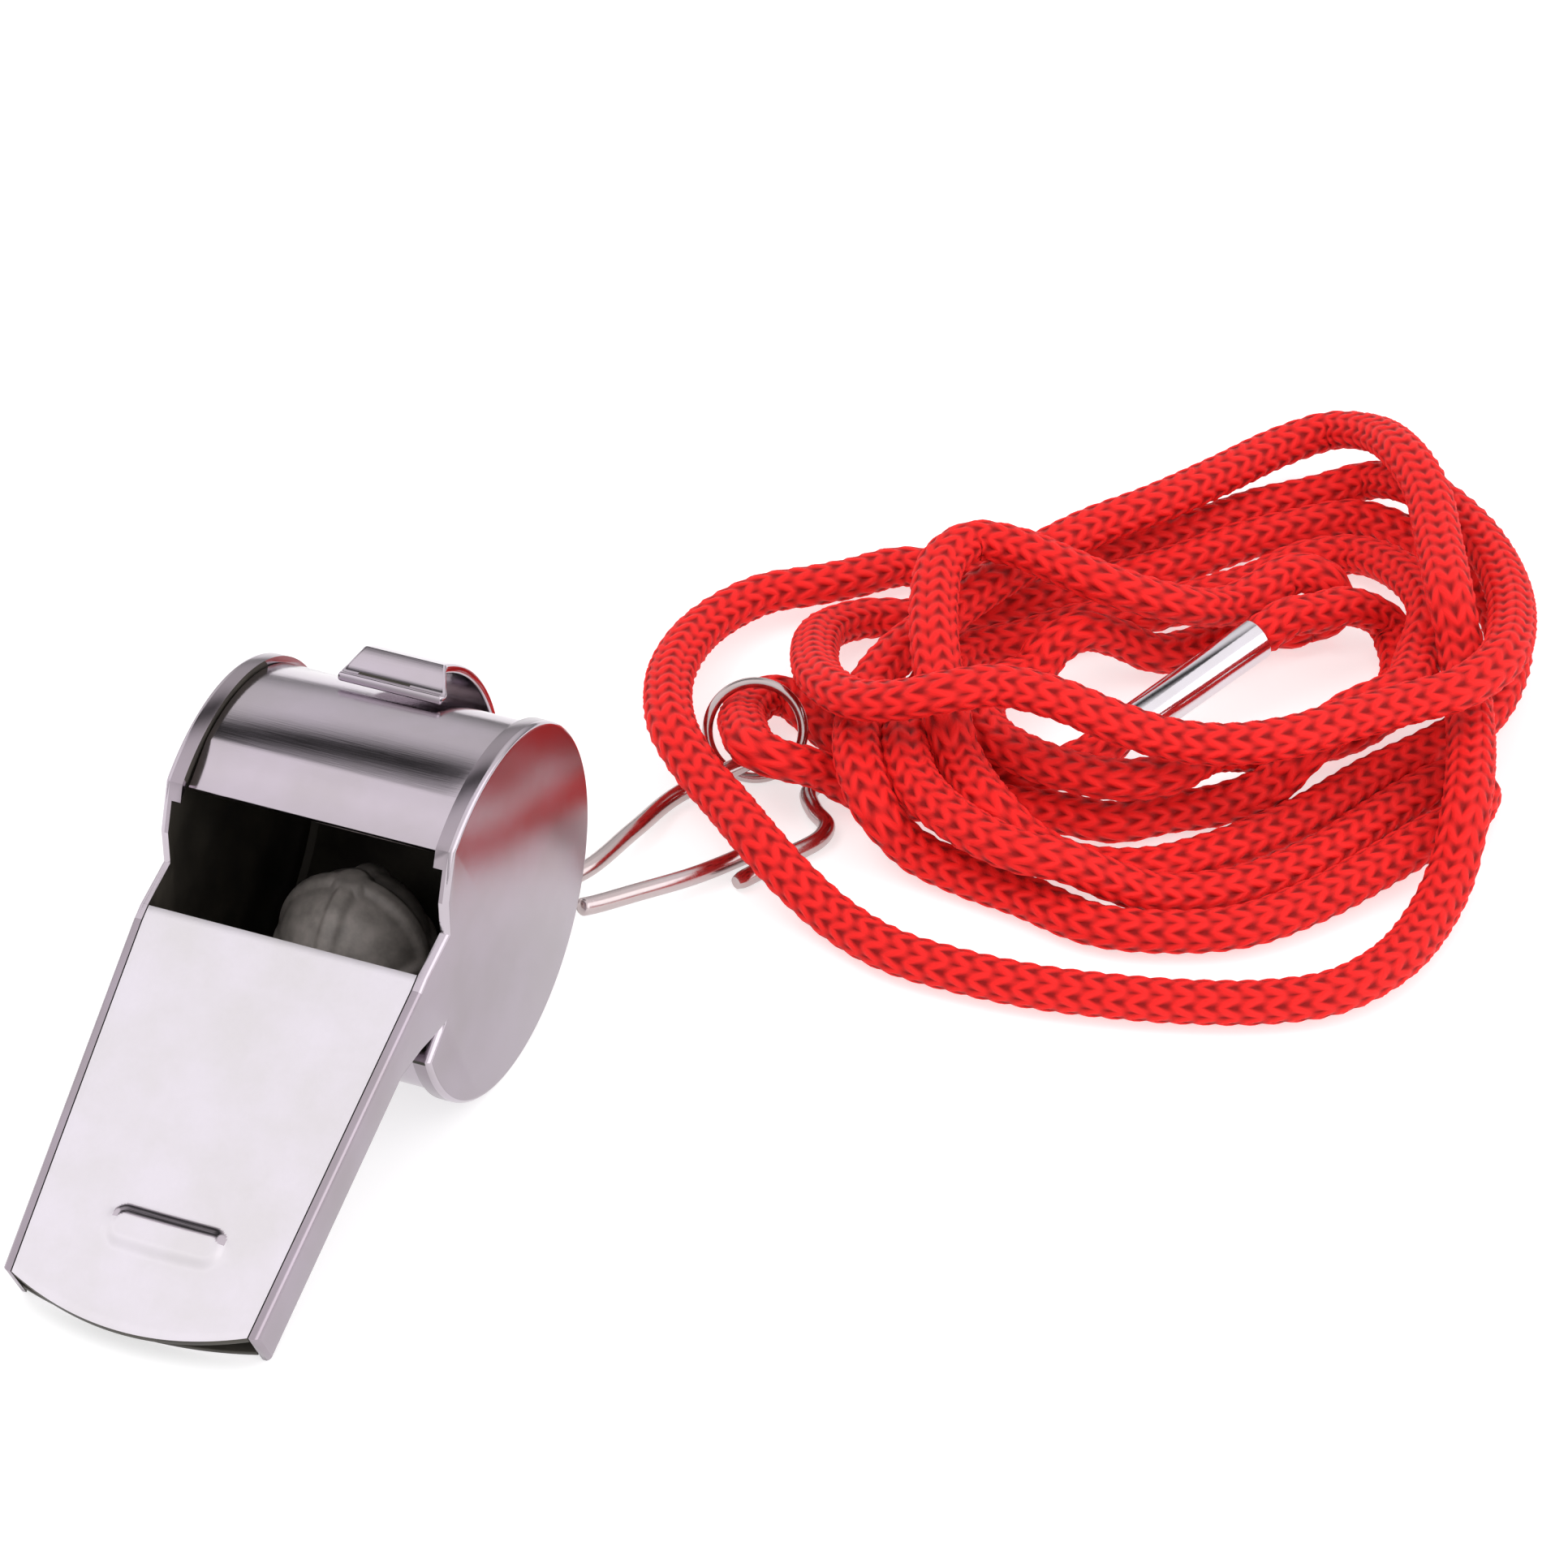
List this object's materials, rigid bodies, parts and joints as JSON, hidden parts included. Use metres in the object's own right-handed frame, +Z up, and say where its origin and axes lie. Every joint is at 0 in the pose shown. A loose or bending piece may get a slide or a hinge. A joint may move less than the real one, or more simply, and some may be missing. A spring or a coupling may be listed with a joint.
{
  "type": "pea whistle with neck cord",
  "caption": "Metal pea whistle hung on a sprung wire clip, a small ring and a red knitted neck cord that lies in a loose pile.",
  "frame": {"origin": "on the table under the middle of the whistle, clip and ring, without the cord", "axes": "+Z up off the table; the whistle's mouth points to -Y and down to the table, the clip and the cord run to +Y; +X is to the right of a viewer who looks along +Y"},
  "size_m": [0.0685, 0.1204, 0.024],
  "materials": {
    "polished_plate": "polished nickel plate",
    "satin_plate": "satin nickel plate",
    "plated_wire": "dull nickel-plated spring wire",
    "pea_plastic": "moulded, matt",
    "knitted_cord": "knitted nylon, soft sheen"
  },
  "bodies": {
    "lanyard": {"clip_frame": "plated_wire", "ferrule": "polished_plate", "cord": "knitted_cord"},
    "whistle": {"right_cheek": "polished_plate", "left_cheek": "polished_plate", "drum_band": "polished_plate", "mouthpiece_top": "satin_plate", "mouthpiece_floor": "polished_plate", "strap": "polished_plate"},
    "pea": {"pea": "pea_plastic"},
    "sprung_leg": {"clip_leg": "plated_wire"},
    "ring": {"ring": "plated_wire"}
  },
  "joints": [
    {"name": "whistle_on_clip", "type": "hinge", "parent": "lanyard", "child": "whistle", "pos_m": [-0.0046, 0.00988, 0.01369], "axis": [-1, 0, 0], "range_deg": [0, 90]},
    {"name": "pea_round_drum", "type": "hinge", "parent": "whistle", "child": "pea", "pos_m": [-0.0046, -0.0025, 0.012], "axis": [1, 0, 0], "continuous": true},
    {"name": "sprung_leg_bends", "type": "hinge", "parent": "lanyard", "child": "sprung_leg", "pos_m": [0.0035, 0.0112, 0.0028], "axis": [0, 0, 1], "range_deg": [0, 10], "stiffness_Nm_per_rad": 0.05},
    {"name": "ring_turns", "type": "hinge", "parent": "lanyard", "child": "ring", "pos_m": [0.0061, 0.03355, 0.003], "axis": [0.2989, -0.7518, 0.5878], "continuous": true}
  ]
}
